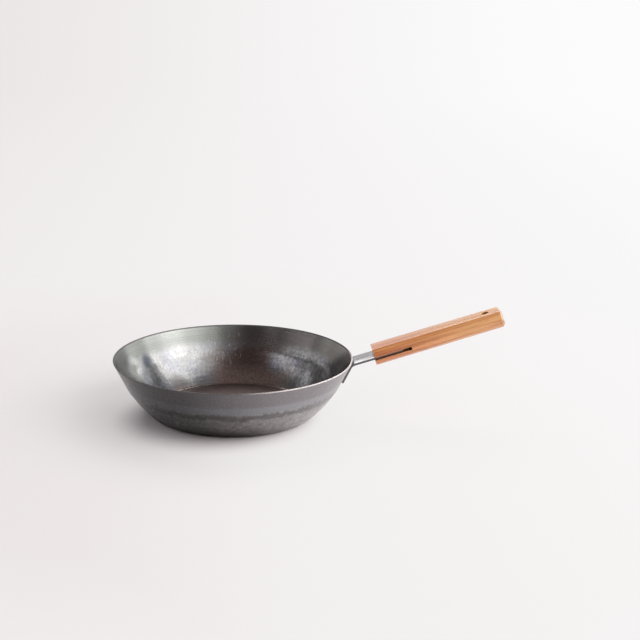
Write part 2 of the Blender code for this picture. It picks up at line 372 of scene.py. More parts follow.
# %% Skin the pan
def ring_points(radius, height, inward, zone):
    """One ring. The inside sinks into the sheet, and the outside gives way to the inside."""
    points = []
    for side in range(PAN_SIDES):
        angle = 2 * pi * side / PAN_SIDES
        depth = 0.0 if zone == RIM else sink(radius, angle, height)
        step = (-depth if zone == INSIDE else depth) - ridge(radius, angle, height)
        reach = radius + step * inward[0]
        points.append((reach * cos(angle), reach * sin(angle), height + step * inward[1]))
    return points


def hammered_pan():
    verts = [(0.0, 0.0, SHEET - sink(0.0, 0.0, 0.0))]
    for ring in rings:
        verts += ring_points(*ring)
    verts.append((0.0, 0.0, 0.0))
    last = len(verts) - 1
    first_of = [1 + PAN_SIDES * index for index in range(len(rings))]
    faces, zones = [], []
    for side in range(PAN_SIDES):
        after = (side + 1) % PAN_SIDES
        faces.append((0, first_of[0] + side, first_of[0] + after))
        zones.append(INSIDE)
        for low, high, ring in zip(first_of, first_of[1:], rings[1:]):
            faces.append((low + side, high + side, high + after, low + after))
            zones.append(ring[3])
        faces.append((first_of[-1] + side, last, first_of[-1] + after))
        zones.append(OUTSIDE)
    mesh = bpy.data.meshes.new("hammered_pan")
    mesh.from_pydata(verts, [], faces)
    mesh.polygons.foreach_set("material_index", zones)
    shade(mesh, RIM_SHARP)
    piece = add_object("hammered_pan", mesh)
    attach(piece, "root")
    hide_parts("pan_body")
    return piece


pan = hammered_pan()
pan_top = max(vert.co.z for vert in pan.data.vertices)
print("pan:", len(pan.data.polygons), "faces, top at", mm(pan_top), "mm")

# %% [markdown]
# ## The handle's own frame
# The strap's bar and the wood lie along one slanted line, so both are modelled level, along X,
# and the object is tilted. The origin is the corner where the middle planes of the leg and the
# bar would meet. Wood grain and brushed lines then simply run along X.

# %% Place of the bend
STAND_OFF = GAP + HALF_STRAP
on_wall = along((RIM_RADIUS, RIM_HEIGHT), BAND_LEAN, BEND_BELOW_RIM)
BEND_PLACE = Vector((on_wall[0] + STAND_OFF * cos(BAND_LEAN), 0.0,
                     on_wall[1] - STAND_OFF * sin(BAND_LEAN)))


def add_level_piece(name, bm, replaced):
    """A piece modelled in the handle's frame, tilted into place, standing for its solid."""
    bmesh.ops.recalc_face_normals(bm, faces=bm.faces)
    piece = add_object(name, mesh_from(name, bm))
    piece.location = BEND_PLACE
    piece.rotation_euler = (0.0, -HANDLE_TILT, 0.0)
    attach(piece, "root")
    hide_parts(*replaced)
    return piece


print("bend at", [mm(v) for v in BEND_PLACE], "mm")

# %% [markdown]
# ## The strap
# A flat steel bar, bent once: its leg lies against the outside of the wall and its bar runs into
# the saw cut in the wood. It is drawn as its side view and extruded to its width. Every edge gets
# a small bevel, because a real sheared strap catches a thin line of light there.

# %% Bend the strap
STRAP_BEND_STEPS = 24
STRAP_EDGE = 0.00025
STRAP_SHARP = 35
BEND_TURN = pi / 2 - BAND_LEAN - HANDLE_TILT
BEND_TANGENT = BEND_RADIUS * tan(BEND_TURN / 2)
LEG_DOWN = Vector((-cos(BEND_TURN), 0.0, -sin(BEND_TURN)))
LEG_OUT = Vector((sin(BEND_TURN), 0.0, -cos(BEND_TURN)))


def strap_line(offset):
    foot = LEG_DOWN * LEG_LENGTH - LEG_OUT * offset
    points = [(foot.x, foot.z)]
    for index in range(STRAP_BEND_STEPS + 1):
        angle = pi / 2 + BEND_TURN * (1 - index / STRAP_BEND_STEPS)
        reach = BEND_RADIUS + offset
        points.append((BEND_TANGENT + reach * cos(angle), reach * sin(angle) - BEND_RADIUS))
    points.append((BAR_LENGTH, offset))
    return points


def extruded(outline, half_width):
    """A side view, drawn as (x, z), as wide as twice a half width."""
    return pulled([(x, -half_width, z) for x, z in outline], (0, 2 * half_width, 0))


side_view = strap_line(HALF_STRAP) + strap_line(-HALF_STRAP)[::-1]
strap_mesh = extruded(side_view, STRAP_WIDTH / 2)
print("strap side view:", len(side_view), "points, turning", round(degrees(BEND_TURN), 1))

# %% Round the strap's corners
CORNER_SEGMENTS = 6


def stands_at_an_end(edge):
    """True for the short edges at the four corners of the strap's outline."""
    first, second = (vert.co for vert in edge.verts)
    short = (first - second).length < STRAP_THICKNESS + TOUCH
    at_bar_end = min(first.x, second.x) > BAR_LENGTH - TOUCH
    at_leg_end = max(first.dot(LEG_DOWN), second.dot(LEG_DOWN)) > LEG_LENGTH - TOUCH
    return abs(first.y - second.y) < TOUCH and short and (at_bar_end or at_leg_end)


corners = [edge for edge in strap_mesh.edges if stands_at_an_end(edge)]
bmesh.ops.bevel(strap_mesh, geom=corners, offset=STRAP_CORNER, segments=CORNER_SEGMENTS,
                profile=0.5, affect="EDGES")
strap = add_level_piece("bent_strap", strap_mesh, ["handle_bracket"])
print(len(corners), "corners rounded")

# %% [markdown]
# ## Cutters
# Holes are cut with Boolean modifiers, as a drill or a saw would: a cutter is a hidden object
# that takes its shape away. The strap has four round holes for the welds and two for the screws,
# where the solids have them.

# %% Drill the strap
OVERSHOOT = 0.004
WELD_RADIUS = 0.00275
WELD_FROM_BEND = 0.0042
WELD_FROM_END = 0.0062
WELD_ACROSS = 0.007
SHANK_RADIUS = 0.00175
SCREW_INSET = 0.0095
ROUND_SIDES = 48


def turned(section):
    """A solid of revolution: a list of (radius, height) spun round Z and closed at both ends."""
    bm = spun(section, ROUND_SIDES)
    bmesh.ops.edgeloop_fill(bm, edges=[edge for edge in bm.edges if edge.is_boundary])
    return bm


def cut_with(target, name, bm, place=(0, 0, 0), turn=(0, 0, 0)):
    """Take a shape away from a piece. The cutter hangs on the piece, so it uses its frame."""
    bmesh.ops.recalc_face_normals(bm, faces=bm.faces)
    cutter = add_object(name, mesh_from(name, bm))
    cutter.parent = target
    cutter.location = place
    cutter.rotation_euler = turn
    cutter.hide_render = True
    target.modifiers.new(name, "BOOLEAN").object = cutter


def peg(radius, half_length):
    """A round cutter with its middle at the origin."""
    return turned([(radius, -half_length), (radius, half_length)])


def leg_spot(row, column):
    """Where a weld sits: its distance down the leg and across it."""
    return LEG_DOWN * row + Vector((0.0, column, 0.0))


LEG_TURN = (0.0, atan2(LEG_OUT.x, LEG_OUT.z), 0.0)
WELD_SPOTS = [(row, column)
              for row in (BEND_TANGENT + WELD_FROM_BEND, LEG_LENGTH - WELD_FROM_END)
              for column in (-WELD_ACROSS, WELD_ACROSS)]
SCREW_SPOTS = [NECK_LENGTH + SCREW_INSET, BAR_LENGTH - SCREW_INSET]
for index, spot in enumerate(WELD_SPOTS, 1):
    hole = peg(WELD_RADIUS + GAP, OVERSHOOT)
    cut_with(strap, f"weld_hole_{index}", hole, leg_spot(*spot), LEG_TURN)
for index, distance in enumerate(SCREW_SPOTS, 1):
    hole = peg(SHANK_RADIUS + GAP, OVERSHOOT)
    cut_with(strap, f"screw_hole_{index}", hole, (distance, 0.0, 0.0))
print("strap holes:", len(strap.modifiers))

# %% Soften the strap's edges and apply the cuts
def settle(piece, sharp_degrees):
    """Turn the modifiers' result into the piece's own mesh, drop the cutters and shade it."""
    graph = bpy.context.evaluated_depsgraph_get()
    mesh = bpy.data.meshes.new_from_object(piece.evaluated_get(graph), depsgraph=graph)
    piece.modifiers.clear()
    piece.data = mesh
    for cutter in list(piece.children):
        bpy.data.objects.remove(cutter, do_unlink=True)
    shade(mesh, sharp_degrees)
    return mesh


soft_edges = strap.modifiers.new("soft_edges", "BEVEL")
soft_edges.width = STRAP_EDGE
soft_edges.segments = 2
soft_edges.limit_method = "ANGLE"
soft_edges.angle_limit = radians(STRAP_SHARP)
print("strap:", len(settle(strap, STRAP_SHARP).polygons), "faces")

# %% [markdown]
# ## The wooden handle
# A planed flat top, sides that swell a little down to the saw cut, and a rounded underside. The
# section is drawn once and carried along the length, a little narrower towards the far end. Its
# two ridges are rounded over half a millimetre, as sandpaper leaves them, and both ends are
# chamfered, which shows as a pale edge at the far end.

# %% The wood's section
RIDGE_INSET = 0.0049
SIDE_SWELL = 1.15
UNDERSIDE_FULLNESS = 2.6
RIDGE_ROUNDING = 0.0006
UNDERSIDE_STEPS = 22
SIDE_STEPS = 8
RIDGE_STEPS = 4


def rounded_ridge(before, corner, after):
    """A soft corner: a curve between points a little before and after it."""
    corner = Vector(corner)
    start, end = (corner + (Vector(point) - corner).normalized() * RIDGE_ROUNDING
                  for point in (before, after))
    shares = [index / RIDGE_STEPS for index in range(RIDGE_STEPS + 1)]
    return [tuple(start.lerp(corner, share).lerp(corner.lerp(end, share), share))
            for share in shares]


def wood_section(half_width, shrink):
    """Points (across, up) of the section from the middle of the underside round to it again."""
    power = 2 / UNDERSIDE_FULLNESS
    right = [(0.0, -HALF_HANDLE)]
    for index in range(1, UNDERSIDE_STEPS + 1):
        angle = pi / 2 * (index / UNDERSIDE_STEPS - 1)
        right.append((half_width * cos(angle) ** power,
                      -HALF_HANDLE * max(0.0, -sin(angle)) ** power))
    for index in range(1, SIDE_STEPS):
        share = index / SIDE_STEPS
        right.append((half_width - RIDGE_INSET * share ** SIDE_SWELL, HALF_HANDLE * share))
    right += rounded_ridge(right[-1], (half_width - RIDGE_INSET, HALF_HANDLE), (0.0, HALF_HANDLE))
    outline = right + [(-across, up) for across, up in reversed(right[1:])]
    across_scale, up_scale = (1 - shrink / half for half in (half_width, HALF_HANDLE))
    return [(across * across_scale, up * up_scale) for across, up in outline]


print("wood section:", len(wood_section(START_HALF_WIDTH, 0.0)), "points")

# %% Carry the section along the handle
FRONT_CHAMFER = 0.0006
FRONT_ROUNDING = (0.3, 0.35)
END_CHAMFER = 0.0022
END_ROUNDING = ((0.12, 0.15), (0.9, 0.93), (1.0, 1.1))
LENGTH_STEPS = 24


def wood_stations():
    """(distance, how much the section shrinks) from the front face to the far face."""
    body_from, body_to = FRONT_CHAMFER, HANDLE_LENGTH - END_CHAMFER
    stations = [(0.0, FRONT_CHAMFER), tuple(FRONT_CHAMFER * share for share in FRONT_ROUNDING)]
    stations += [(body_from + (body_to - body_from) * index / LENGTH_STEPS, 0.0)
                 for index in range(LENGTH_STEPS + 1)]
    stations[-1] = (body_to - END_ROUNDING[0][0] * END_CHAMFER, 0.0)
    stations += [(body_to + END_CHAMFER * share, END_CHAMFER * shrink)
                 for share, shrink in END_ROUNDING]
    return stations


def wood_blank():
    bm = bmesh.new()
    hoops = []
    for distance, shrink in wood_stations():
        half_width = START_HALF_WIDTH - SIDE_TAPER * distance / HANDLE_LENGTH
        hoops.append([bm.verts.new((NECK_LENGTH + distance, across, up))
                      for across, up in wood_section(half_width, shrink)])
    for hoop, following in zip(hoops, hoops[1:]):
        for index in range(len(hoop)):
            after = (index + 1) % len(hoop)
            bm.faces.new((hoop[index], hoop[after], following[after], following[index]))
    bm.faces.new(hoops[0][::-1])
    bm.faces.new(hoops[-1])
    return bm


wood = add_level_piece("oiled_handle", wood_blank(), ["wood_handle"])
print("wood blank:", len(wood.data.polygons), "faces")

# %% [markdown]
# ## Saw cut, relief hole, hanging hole and screw seats
# The saw cut runs past the bar's end to a small cross hole, which stops the wood from splitting.
# The hanging hole goes straight through near the far end, and its mouth is broken with a small
# flare. The screws come from below, so their seats are countersunk there.

# %% Cut the wood
SLOT_SPARE = 0.007
SLOT_HALF = HALF_STRAP + GAP
SLOT_END = BAR_LENGTH + SLOT_SPARE
RELIEF_RADIUS = 0.00175
RELIEF_PLACE = (SLOT_END, 0.0, 0.0)
HANG_RADIUS = 0.004
HANG_FROM_END = 0.0173
HANG_PLACE = (NECK_LENGTH + HANDLE_LENGTH - HANG_FROM_END, 0.0, 0.0)
HANG_FLARE = 0.0004
HEAD_RADIUS = 0.0035
HEAD_LAND = 0.0004
HEAD_RECESS = 0.0004
HEAD_FACE = HEAD_RECESS - HALF_HANDLE
SCREW_BITE = 0.0045
SCREW_POINT = 0.0025
SCREW_BLUNTNESS = 0.2
WOOD_SHARP = 24


def screw_section(grow):
    """(radius, height) of a screw from the head's face to its point, grown by a clearance."""
    land = HEAD_FACE + HEAD_LAND
    neck = land + HEAD_RADIUS - SHANK_RADIUS
    tip = HALF_STRAP + SCREW_BITE
    shift = grow * tan(pi / 8)
    return [(HEAD_RADIUS + grow, HEAD_FACE - grow), (HEAD_RADIUS + grow, land + shift),
            (SHANK_RADIUS + grow, neck + shift), (SHANK_RADIUS + grow, tip - SCREW_POINT),
            (SHANK_RADIUS * SCREW_BLUNTNESS + grow, tip + grow)]


reach_up = HALF_HANDLE + OVERSHOOT
reach_across = START_HALF_WIDTH + OVERSHOOT
slot_start = NECK_LENGTH - OVERSHOOT
saw = extruded([(slot_start, -SLOT_HALF), (SLOT_END, -SLOT_HALF), (SLOT_END, SLOT_HALF),
                (slot_start, SLOT_HALF)], reach_across)
cut_with(wood, "saw_cut", saw)
cut_with(wood, "relief_hole", peg(RELIEF_RADIUS, reach_across), RELIEF_PLACE, (pi / 2, 0.0, 0.0))
hang = turned([(HANG_RADIUS, -reach_up), (HANG_RADIUS, HALF_HANDLE - HANG_FLARE),
               (HANG_RADIUS + HANG_FLARE, HALF_HANDLE), (HANG_RADIUS + HANG_FLARE, reach_up)])
cut_with(wood, "hanging_hole", hang, HANG_PLACE)
for index, distance in enumerate(SCREW_SPOTS, 1):
    seat = screw_section(GAP)
    seat[0] = (seat[0][0], -reach_up)
    cut_with(wood, f"screw_seat_{index}", turned(seat), (distance, 0.0, 0.0))
print("wood:", len(settle(wood, WOOD_SHARP).polygons), "faces")

# %% [markdown]
# ## Welds and screws
# The leg is held to the wall by welds that fill four holes in it. Each is a low crown of melted
# metal with a few ripples where it froze. The screws are plain countersunk ones with a cross
# recess, which shows only from below.

# %% Fill the weld holes
WELD_CROWN = 0.0004
CROWN_STEPS = 12
CROWN_CLOSES = 0.96
RIPPLES = 3
RIPPLE_DEPTH = 0.00003
BEAD_SHARP = 50


def weld_section():
    points = [(WELD_RADIUS, -HALF_STRAP), (WELD_RADIUS, HALF_STRAP)]
    for index in range(1, CROWN_STEPS + 1):
        share = index / CROWN_STEPS
        crown = (WELD_CROWN - RIPPLE_DEPTH) * sin(share * pi / 2)
        ripple = RIPPLE_DEPTH * 0.5 * (1 - cos(2 * pi * RIPPLES * share))
        points.append((WELD_RADIUS * (1 - CROWN_CLOSES * share), HALF_STRAP + crown + ripple))
    return points


def weld_bead(index, row, column):
    bead = add_level_piece(f"weld_bead_{index}", turned(weld_section()),
                           [f"plug_weld_{index}"])
    tilt = bead.rotation_euler.to_matrix().to_4x4()
    spot = Matrix.Translation(leg_spot(row, column)) @ Matrix.Rotation(LEG_TURN[1], 4, "Y")
    bead.matrix_world = Matrix.Translation(bead.location) @ tilt @ spot
    shade(bead.data, BEAD_SHARP)
    return bead


beads = [weld_bead(index, *spot) for index, spot in enumerate(WELD_SPOTS, 1)]
print(len(beads), "weld beads")

# %% Turn the screws
DRIVE_SPAN = 0.0038
DRIVE_WIDTH = 0.0009
DRIVE_DEPTH = 0.0011
SCREW_SHARP = 30


def cross_recess():
    """The plus-shaped tool that sinks the drive into the head."""
    low, high = HEAD_FACE - OVERSHOOT, HEAD_FACE + DRIVE_DEPTH
    long_half, short_half = DRIVE_SPAN / 2, DRIVE_WIDTH / 2
    arm = [(long_half, short_half), (short_half, short_half), (short_half, long_half)]
    turns = [quarter * pi / 2 for quarter in range(4)]
    corners = [(x * cos(turn) - y * sin(turn), x * sin(turn) + y * cos(turn), high)
               for turn in turns for x, y in arm]
    return pulled(corners, (0, 0, low - high))


def countersunk_screw(index, distance):
    screw = add_level_piece(f"countersunk_screw_{index}", turned(screw_section(0.0)),
                            [f"handle_screw_{index}"])
    tilt = screw.rotation_euler.to_matrix()
    screw.location = BEND_PLACE + tilt @ Vector((distance, 0.0, 0.0))
    cut_with(screw, f"drive_{index}", cross_recess())
    settle(screw, SCREW_SHARP)
    return screw


screws = [countersunk_screw(index, distance) for index, distance in enumerate(SCREW_SPOTS, 1)]
print(len(screws), "screws")

# %% [markdown]
# ## Writing a finish with nodes
# Every finish is a recipe of nodes: coordinates of the object, some noise, soft steps that say
# where a thing happens, and one shader at the end. Short helpers keep the recipes readable. All
# sizes are real: a noise of scale 200 has lumps of about a two-hundredth of a metre.

# %% Nodes and sums
def wire(node, wiring):
    """Each input is linked if it is given a socket, or else set."""
    for name, value in wiring.items():
        if isinstance(value, bpy.types.NodeSocket):
            value.id_data.links.new(value, node.inputs[name])
        else:
            node.inputs[name].default_value = value
    return node


def new_node(tree, kind, wiring=None, **settings):
    made = tree.nodes.new(kind)
    for name, value in settings.items():
        setattr(made, name, value)
    return wire(made, wiring or {})


def joined(kind, wiring, **settings):
    """A node in the same tree as the sockets that feed it."""
    fed = (value for value in wiring.values() if isinstance(value, bpy.types.NodeSocket))
    return new_node(next(fed).id_data, kind, wiring, **settings)


def maths(operation, first, second=0.0):
    return joined("ShaderNodeMath", {0: first, 1: second}, operation=operation).outputs[0]


plus, less, times, larger = (partial(maths, operation) for operation in
                             ("ADD", "SUBTRACT", "MULTIPLY", "MAXIMUM"))


def vectors(operation, *values):
    return joined("ShaderNodeVectorMath", dict(enumerate(values)), operation=operation).outputs


def scaled(vector, factor):
    return joined("ShaderNodeVectorMath", {0: vector, "Scale": factor},
                  operation="SCALE").outputs[0]


print("nodes and sums ready")

# %% Places, steps, colours and noise
FLATTEN = (1.0, 1.0, 0.0)


def axis(place, letter):
    return joined("ShaderNodeSeparateXYZ", {0: place}).outputs[letter]


def off_axis(place, kept=FLATTEN):
    """Distance from an axis, Z if nothing else is said."""
    return vectors("LENGTH", vectors("MULTIPLY", place, kept)[0])["Value"]


def soft_step(value, low, high, start=0.0, end=1.0):
    """start where the value is under low, end where it is over high, and a smooth way between."""
    wiring = {"Value": value, "From Min": low, "From Max": high, "To Min": start, "To Max": end}
    return joined("ShaderNodeMapRange", wiring, interpolation_type="SMOOTHSTEP").outputs[0]


def mixed(share, first, second):
    """A colour between two, each given as (r, g, b) or as a socket."""
    ends = [value if isinstance(value, bpy.types.NodeSocket) else (*value, 1.0)
            for value in (first, second)]
    return joined("ShaderNodeMix", {0: share, 6: ends[0], 7: ends[1]},
                  data_type="RGBA").outputs[2]


def lumps(place, scale, detail, roughness=0.55, distortion=0.0):
    wiring = {"Vector": place, "Scale": scale, "Detail": detail, "Roughness": roughness,
              "Distortion": distortion}
    return joined("ShaderNodeTexNoise", wiring).outputs[0]


def streaks(place, scales, detail, roughness=0.55, distortion=0.0, turn=(0, 0, 0)):
    """Lumps with a scale of their own along each axis."""
    wiring = {"Vector": place, "Scale": scales, "Rotation": turn}
    stretched = joined("ShaderNodeMapping", wiring).outputs[0]
    return lumps(stretched, 1.0, detail, roughness, distortion)


def tool_rings(distance, lines_per_metre):
    """Fine lines left by a tool: a noise that changes along one distance alone."""
    wiring = {"W": distance, "Scale": lines_per_metre, "Detail": 4.0, "Roughness": 0.7}
    return joined("ShaderNodeTexNoise", wiring, noise_dimensions="1D").outputs[0]


print("places, steps, colours and noise ready")

# %% Finishes
def new_finish(name, metallic):
    """A material, its shader and the object's own coordinates."""
    material = bpy.data.materials.new(name)
    material.use_nodes = True
    tree = material.node_tree
    shader = wire(tree.nodes["Principled BSDF"], {"Metallic": metallic})
    return material, shader, new_node(tree, "ShaderNodeTexCoord").outputs["Object"]


def set_surface(shader, colour, roughness, relief, depth):
    """Wire colour, roughness and a height in metres into the shader."""
    bump = joined("ShaderNodeBump", {"Height": relief, "Distance": depth}).outputs[0]
    wire(shader, {"Base Color": colour, "Roughness": roughness, "Normal": bump})


def dress(pieces, *finishes):
    """Give the pieces their finishes, in the order of the zones of their faces."""
    for piece in pieces:
        for finish in finishes:
            piece.data.materials.append(finish)


print("finish helpers ready")

# %% [markdown]
# ## Iron inside
# Bare iron that has been burnt in: silvery where it is wiped, brown-black where oil has baked on
# the base and the wall's foot, duller and warmer in the band. A painted dark reflection and a
# painted highlight sit on the left wall. Stains, a rubbed spot and a bared one on the far wall
# tell of use.
# The band keeps the fine rings of its spinning tool, the wall keeps upright dark strokes of the
# hammer, and the base has light scratches from turning food. The marks of the mesh carry the big
# reflections, and smaller noises add the grain between them.

# %% The inside's colours
IRON_WIPED = (0.284, 0.282, 0.277)
# A painted highlight on the left wall.
IRON_HIGHLIGHT = (0.400, 0.400, 0.395)
IRON_DULL = (0.190, 0.195, 0.183)
IRON_BAND = (0.228, 0.233, 0.220)
IRON_LINES = (0.150, 0.152, 0.142)
IRON_STAIN = (0.085, 0.074, 0.074)
IRON_BLUE = (0.216, 0.223, 0.247)
IRON_DENT = (0.135, 0.134, 0.142)
IRON_WARM = (0.172, 0.150, 0.149)
# A painted dark reflection on the left wall.
IRON_DARK_REFLECTION = (0.045, 0.051, 0.068)
IRON_BAKED = (0.128, 0.091, 0.080)
IRON_BURNT = (0.082, 0.058, 0.052)
IRON_BROWN = (0.205, 0.160, 0.148)
SCRATCH_PALE = (0.42, 0.38, 0.34)

# %% The inside's places
# Heights or distances between which one look changes into another.
BAND_EDGE = (0.0357, 0.0417)
DULL_EDGE = (0.038, 0.048)
LIGHTER_EDGE = (0.051, 0.059)
BAKED_MIDDLE = (0.016, 0.085, 0.020)
BAKED_EDGE = (0.042, 0.079)
CORNER_RADIUS = profile[-1][0] + 0.002
BASE_EDGE = (CORNER_RADIUS - 0.004, CORNER_RADIUS)
BROWN_EDGE = (CORNER_RADIUS - 0.002, CORNER_RADIUS + 0.003)
# Patches: the middle, how far each is full, where it ends and its greatest share.
# A painted highlight on the left wall.
HIGHLIGHT_PATCH = ((-0.1110, 0.0370, 0.0365), 0.006, 0.018, 1.0)
# A painted dark reflection on the left wall, and its weaker tail lower down.
DARK_REFLECTION = ((-0.0985, 0.0620, 0.0370), 0.003, 0.0125, 0.9)
DARK_REFLECTION_FOOT = ((-0.0935, 0.0560, 0.0260), 0.002, 0.011, 0.3)
STAIN = ((0.046, 0.113, 0.050), 0.009, 0.024, 0.6)
STAIN_FOOT = ((-0.063, 0.071, 0.004), 0.006, 0.020, 0.7)
RUBBED = ((-0.008, 0.112, 0.040), 0.012, 0.030, 1.0)
BARED = ((0.053, 0.095, 0.026), 0.005, 0.021, 0.85)


def patch(place, spot):
    """How much of a patch there is at a place."""
    middle, full, none, share = spot
    return soft_step(vectors("DISTANCE", place, middle)["Value"], full, none, share, 0.0)


def round_wall(place):
    """Coordinates that run round the wall and up it, in which lumps become upright strokes."""
    outward = vectors("NORMALIZE", vectors("MULTIPLY", place, FLATTEN)[0])[0]
    upward = vectors("MULTIPLY", place, (0.0, 0.0, 0.75))[0]
    return vectors("MULTIPLY_ADD", outward, (0.1, 0.1, 0.1), upward)[0]


def scratches(place, turn, fineness):
    """Sparse thin lines: a noise stretched along one direction, cut off high."""
    return soft_step(streaks(place, (18.0, fineness, 18.0), 2.0, turn=(0, 0, turn)), 0.66, 0.74)


print("base corner at", mm(CORNER_RADIUS), "mm from the axis")

# %% The inside's wall
def band_colour(height, across, lines):
    """Dull, lighter under the rim, warmer along the far wall and lined by the tool."""
    lighter = times(soft_step(height, *LIGHTER_EDGE), soft_step(across, -0.118, -0.098))
    warm = times(soft_step(across, -0.015, 0.030), soft_step(across, 0.085, 0.115, 1.0, 0.3))
    colour = mixed(warm, mixed(lighter, IRON_DULL, IRON_BAND), IRON_WARM)
    return mixed(soft_step(lines, 0.42, 0.66, 0.0, 0.8), colour, IRON_LINES)


def wall_colour(place, cloud, blows, lines):
    """Wiped iron, strokes, the band above, stains, painted highlight and dark reflection, brown
    foot.
    """
    radius, height, across = off_axis(place), axis(place, "Z"), axis(place, "X")
    wall = mixed(soft_step(cloud, 0.45, 0.7), IRON_WIPED, IRON_BLUE)
    dented = times(soft_step(blows, 0.40, 0.62), soft_step(across, -0.03, 0.05, 0.22, 0.55))
    wall = mixed(dented, wall, IRON_DENT)
    ragged = plus(height, times(less(cloud, 0.5), 0.008))
    wall = mixed(soft_step(ragged, *DULL_EDGE), wall, band_colour(height, across, lines))
    wall = mixed(larger(patch(place, STAIN), patch(place, STAIN_FOOT)), wall, IRON_STAIN)
    # Painted highlight on the left wall.
    wall = mixed(patch(place, HIGHLIGHT_PATCH), wall, IRON_HIGHLIGHT)
    # Painted dark reflection on the left wall.
    wall = mixed(larger(patch(place, DARK_REFLECTION), patch(place, DARK_REFLECTION_FOOT)), wall, IRON_DARK_REFLECTION)
    return mixed(soft_step(radius, *BROWN_EDGE), IRON_BROWN, wall)


def crust_colour(height, fleck):
    """Baked oil, which is thinner and so paler near the base."""
    crust = mixed(soft_step(fleck, 0.35, 0.65), IRON_BAKED, IRON_BURNT)
    return scaled(crust, soft_step(height, 0.006, 0.024, 1.9, 1.0))


def scratched(place):
    """Scratches on the base and rubbed streaks on the far wall."""
    crossing = larger(scratches(place, radians(28), 900.0), scratches(place, radians(-41), 700.0))
    on_base = times(crossing, soft_step(off_axis(place), 0.04, 0.09, 0.5, 0.0))
    rubs = streaks(place, (760.0, 60.0, 150.0), 2.0, turn=(0, radians(38), 0))
    return larger(on_base, times(soft_step(rubs, 0.62, 0.70), patch(place, RUBBED)))


print("wall recipe ready")

# %% The inside's finish
INSIDE_GRAIN_DEPTH = 0.00007


def iron_inside():
    material, shader, place = new_finish("iron_inside", 1.0)
    radius, height = off_axis(place), axis(place, "Z")
    cloud = lumps(place, 32.0, 4.0, 0.6)
    fleck = lumps(place, 420.0, 3.0, 0.6)
    blows = lumps(round_wall(place), 300.0, 2.0, 0.5)
    lines = tool_rings(height, 1400.0)
    on_base = soft_step(radius, *BASE_EDGE, 1.0, 0.0)
    off_corner = maths("ABSOLUTE", less(radius, CORNER_RADIUS))
    in_corner = soft_step(off_corner, 0.001, 0.007, 0.4, 0.0)
    ragged = plus(vectors("DISTANCE", place, BAKED_MIDDLE)["Value"], times(cloud, 0.030))
    baked = times(soft_step(ragged, *BAKED_EDGE, 1.0, 0.0), less(1.0, patch(place, BARED)))
    baked = larger(times(baked, soft_step(on_base, 0.0, 1.0, 1.0, 0.35)), in_corner)
    flecked = times(soft_step(fleck, 0.45, 0.75), soft_step(height, *BAND_EDGE, 0.3, 0.06))
    colour = mixed(baked, wall_colour(place, cloud, blows, lines), crust_colour(height, fleck))
    colour = mixed(flecked, colour, IRON_BURNT)
    colour = mixed(scratched(place), colour, SCRATCH_PALE)
    gloss = plus(soft_step(fleck, 0.3, 0.7, 0.16, 0.23), times(baked, 0.12))
    gloss = plus(plus(gloss, times(in_corner, 0.06)), times(on_base, 0.20))
    grain = plus(plus(fleck, times(lumps(place, 1100.0, 2.0), 0.25)), times(blows, 0.9))
    ringed = times(lines, times(soft_step(height, *BAND_EDGE), 0.6))
    relief = plus(times(grain, soft_step(height, *BAND_EDGE, 1.0, 0.2)), ringed)
    set_surface(shader, colour, gloss, relief, INSIDE_GRAIN_DEPTH)
    return material


inside_finish = iron_inside()
print("inside:", len(inside_finish.node_tree.nodes), "nodes")

# %% [markdown]
# ## The cut rim and the outside
# The rim is the sheet's own cut edge, painted bright towards the near right as a painted highlight
# and dull elsewhere. Outside, the band is smooth and grey, the ridge where the hammering ends has
# a painted highlight with a wavy dark line of painted shade under it, and below it the wall is
# mottled and darkens towards the base, where the flame burns it black and painted shade makes it
# darker on the left. Painted shade darkens the whole outside more and more away from the handle.

# %% The rim's finish
RIM_BRIGHT = (0.68, 0.62, 0.61)
RIM_DULL = (0.155, 0.145, 0.145)
# Direction towards which the rim is painted bright, and the distances over which it turns from
# dull.
RIM_LIT_TOWARDS = (0.79, -0.61, 0.0)
RIM_LIT_EDGE = (0.084, 0.122)
RIM_GRAIN_DEPTH = 0.00002


def cut_rim():
    material, shader, place = new_finish("cut_rim", 1.0)
    rim_noise = lumps(place, 160.0, 4.0, 0.65)
    forward = vectors("DOT_PRODUCT", place, RIM_LIT_TOWARDS)["Value"]
    uneven = plus(forward, times(rim_noise, 0.012))
    # Painted highlight: the rim is painted bright towards the near right and dull elsewhere.
    colour = mixed(soft_step(uneven, *RIM_LIT_EDGE), RIM_DULL, RIM_BRIGHT)
    gloss = soft_step(rim_noise, 0.3, 0.7, 0.46, 0.62)
    set_surface(shader, colour, gloss, lumps(place, 1500.0, 2.0), RIM_GRAIN_DEPTH)
    return material


rim_finish = cut_rim()
print("rim:", len(rim_finish.node_tree.nodes), "nodes")

# %% The outside's finish
OUTSIDE_BAND = (0.316, 0.294, 0.305)
# A painted highlight on the ridge where the hammering ends.
OUTSIDE_RIDGE_HIGHLIGHT = (0.385, 0.380, 0.402)
# Scale in the mottle, and also the painted shade of the dark line under the ridge.
OUTSIDE_SCALE_AND_SHADE = (0.150, 0.142, 0.148)
OUTSIDE_MOTTLE = (0.462, 0.437, 0.434)
# The flame's black at the base, also used as painted shade on the left.
OUTSIDE_BURNT_SHADE = (0.050, 0.042, 0.040)
# Height, tilt and width of the wavy line of painted shade under the ridge.
SHADE_LINE_HEIGHT = 0.0300
SHADE_LINE_TILT = -0.006
SHADE_LINE_EDGE = (0.0010, 0.0054)
RIDGE_EDGE = (0.0326, 0.0375)
OUTER_BAND_EDGE = (0.0405, 0.0455)
BURNT_EDGE = (0.006, 0.021)
# Painted shade across the outside: where it begins and ends along X, and the colour's scale at each
# end.
SIDE_SHADE_EDGE = (-0.065, 0.130)
SHADED_SIDE_SHARE = 0.25
LIT_SIDE_SHARE = 1.08
OUTSIDE_GRAIN_DEPTH = 0.00006


